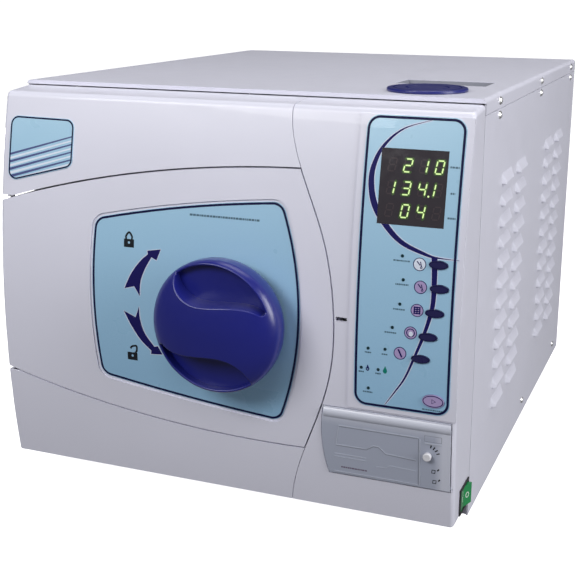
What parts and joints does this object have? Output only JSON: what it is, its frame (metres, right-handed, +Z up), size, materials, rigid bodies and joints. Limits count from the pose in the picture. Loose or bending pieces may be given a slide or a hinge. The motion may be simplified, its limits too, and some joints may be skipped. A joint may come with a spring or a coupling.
{
  "type": "benchtop autoclave",
  "caption": "Benchtop steam autoclave: white cabinet with louvred sides, bowed plastic front, hinged pressure door with a round blue locking knob, keypad and display.",
  "frame": {"origin": "bottom centre of the whole object, on the plane that its feet stand on", "axes": "+X to the viewer's right when facing the front, -Y out of the front, +Z up"},
  "size_m": [0.4894, 0.6794, 0.4244],
  "materials": {
    "cabinet_paint": "fine textured powder coat",
    "fascia_plastic": "painted satin moulding",
    "knob_blue": "polished",
    "cap_violet": "satin",
    "label_blue": "printed polyester film",
    "display_dark": "tinted filter",
    "key_navy": "embossed film",
    "key_lilac": "embossed film",
    "flap_grey": "smoked satin moulding",
    "latch_white": "polished",
    "rocker_green": "translucent, polished",
    "black_plastic": "moulded",
    "grey_plastic": "moulded",
    "tank_plastic": "natural polyethylene",
    "foot_rubber": "moulded",
    "seal_silicone": "silicone",
    "chamber_steel": "brushed stainless",
    "zinc_steel": "zinc plated",
    "screw_steel": "nickel plated",
    "brass_fitting": "turned",
    "copper_coil": "finned coil",
    "insulation_wool": "needled mat",
    "dark_metal": "painted",
    "pump_casting": "cast",
    "circuit_board": "solder mask"
  },
  "bodies": {
    "root": {"badge_plate": "label_blue", "band_heater": "zinc_steel", "base_pan": "cabinet_paint", "chamber_ports": "brass_fitting", "chamber_vessel": "chamber_steel", "clean_water_tank": "tank_plastic", "condenser": "copper_coil", "control_board": "circuit_board", "control_overlay": "label_blue", "display_filter": "display_dark", "drain_couplings": "brass_fitting", "fan_housing": "black_plastic", "fascia_left_lower": "fascia_plastic", "fascia_left_upper": "fascia_plastic", "fascia_right": "fascia_plastic", "front_frame": "zinc_steel", "grip_recess": "grey_plastic", "hinge_brackets": "zinc_steel", "inlet_socket": "black_plastic", "instrument_trays": "chamber_steel", "insulation_jacket": "insulation_wool", "lock_keepers": "zinc_steel", "machine_screws": "screw_steel", "power_supply": "dark_metal", "rear_fittings": "brass_fitting", "rear_panel": "cabinet_paint", "rubber_feet": "foot_rubber", "service_bay": "grey_plastic", "side_panel_left": "cabinet_paint", "side_panel_right": "cabinet_paint", "steam_generator": "chamber_steel", "switch_housing": "black_plastic", "top_cover": "cabinet_paint", "tray_rack": "chamber_steel", "vacuum_pump": "pump_casting", "valve_block": "brass_fitting", "waste_water_tank": "tank_plastic"},
    "door": {"door_shell": "fascia_plastic", "door_label": "label_blue", "door_frame": "zinc_steel", "pressure_plate": "chamber_steel", "door_seal": "seal_silicone", "hinge_bushes": "brass_fitting", "bolt_guides": "zinc_steel"},
    "knob": {"door_knob": "knob_blue", "knob_spindle": "zinc_steel"},
    "bolt_top": {"lock_bolt_top": "zinc_steel"},
    "bolt_bottom": {"lock_bolt_bottom": "zinc_steel"},
    "bolt_side": {"lock_bolt_side": "zinc_steel"},
    "key_1": {"program_button_1": "key_navy"},
    "key_2": {"program_button_2": "key_navy"},
    "key_3": {"program_button_3": "key_navy"},
    "key_4": {"program_button_4": "key_navy"},
    "key_5": {"program_button_5": "key_navy"},
    "key_start": {"start_button": "key_lilac"},
    "rocker": {"power_rocker": "rocker_green"},
    "flap": {"service_flap": "flap_grey"},
    "latch": {"flap_latch": "latch_white"},
    "cap": {"fill_cap": "cap_violet"},
    "fan": {"fan_rotor": "black_plastic"}
  },
  "joints": [
    {"name": "door_hinge", "type": "hinge", "parent": "root", "child": "door", "pos_m": [-0.231, -0.27225, 0.222], "axis": [0, 0, -1], "range_deg": [0, 105]},
    {"name": "knob_turn", "type": "hinge", "parent": "door", "child": "knob", "pos_m": [0.0175, -0.31425, 0.212], "axis": [0, 1, 0], "range_deg": [0, 90]},
    {"name": "bolt_top_slide", "type": "slide", "parent": "door", "child": "bolt_top", "axis": [0, 0, 1], "range_m": [0, 0.0221]},
    {"name": "bolt_bottom_slide", "type": "slide", "parent": "door", "child": "bolt_bottom", "axis": [0, 0, -1], "range_m": [0, 0.0221]},
    {"name": "bolt_side_slide", "type": "slide", "parent": "door", "child": "bolt_side", "axis": [1, 0, 0], "range_m": [0, 0.0221]},
    {"name": "key_1_press", "type": "slide", "parent": "root", "child": "key_1", "axis": [0, 1, 0], "range_m": [0, 0.0008], "stiffness_N_per_m": 600, "springref_m": -0.0008},
    {"name": "key_2_press", "type": "slide", "parent": "root", "child": "key_2", "axis": [0, 1, 0], "range_m": [0, 0.0008], "stiffness_N_per_m": 600, "springref_m": -0.0008},
    {"name": "key_3_press", "type": "slide", "parent": "root", "child": "key_3", "axis": [0, 1, 0], "range_m": [0, 0.0008], "stiffness_N_per_m": 600, "springref_m": -0.0008},
    {"name": "key_4_press", "type": "slide", "parent": "root", "child": "key_4", "axis": [0, 1, 0], "range_m": [0, 0.0008], "stiffness_N_per_m": 600, "springref_m": -0.0008},
    {"name": "key_5_press", "type": "slide", "parent": "root", "child": "key_5", "axis": [0, 1, 0], "range_m": [0, 0.0008], "stiffness_N_per_m": 600, "springref_m": -0.0008},
    {"name": "key_start_press", "type": "slide", "parent": "root", "child": "key_start", "axis": [0, 1, 0], "range_m": [0, 0.0008], "stiffness_N_per_m": 600, "springref_m": -0.0008},
    {"name": "rocker_tilt", "type": "hinge", "parent": "root", "child": "rocker", "pos_m": [0.2375, -0.24575, 0.049], "axis": [0, 0, 1], "range_deg": [0, 18]},
    {"name": "flap_fold", "type": "hinge", "parent": "root", "child": "flap", "pos_m": [0.176, -0.28242, 0.073], "axis": [1, 0, 0], "range_deg": [0, 95]},
    {"name": "latch_turn", "type": "hinge", "parent": "flap", "child": "latch", "pos_m": [0.215, -0.28654, 0.104], "axis": [0, -1, 0], "range_deg": [0, 90]},
    {"name": "cap_lift", "type": "slide", "parent": "root", "child": "cap", "axis": [0, 0, 1], "range_m": [0, 0.05]},
    {"name": "fan_spin", "type": "hinge", "parent": "root", "child": "fan", "pos_m": [-0.02, 0.30175, 0.222], "axis": [0, 1, 0], "continuous": true}
  ],
  "couplings": [
    {"joint": "bolt_top_slide", "follows": "knob_turn", "m_per_rad": 0.014},
    {"joint": "bolt_bottom_slide", "follows": "knob_turn", "m_per_rad": 0.014},
    {"joint": "bolt_side_slide", "follows": "knob_turn", "m_per_rad": 0.014}
  ]
}
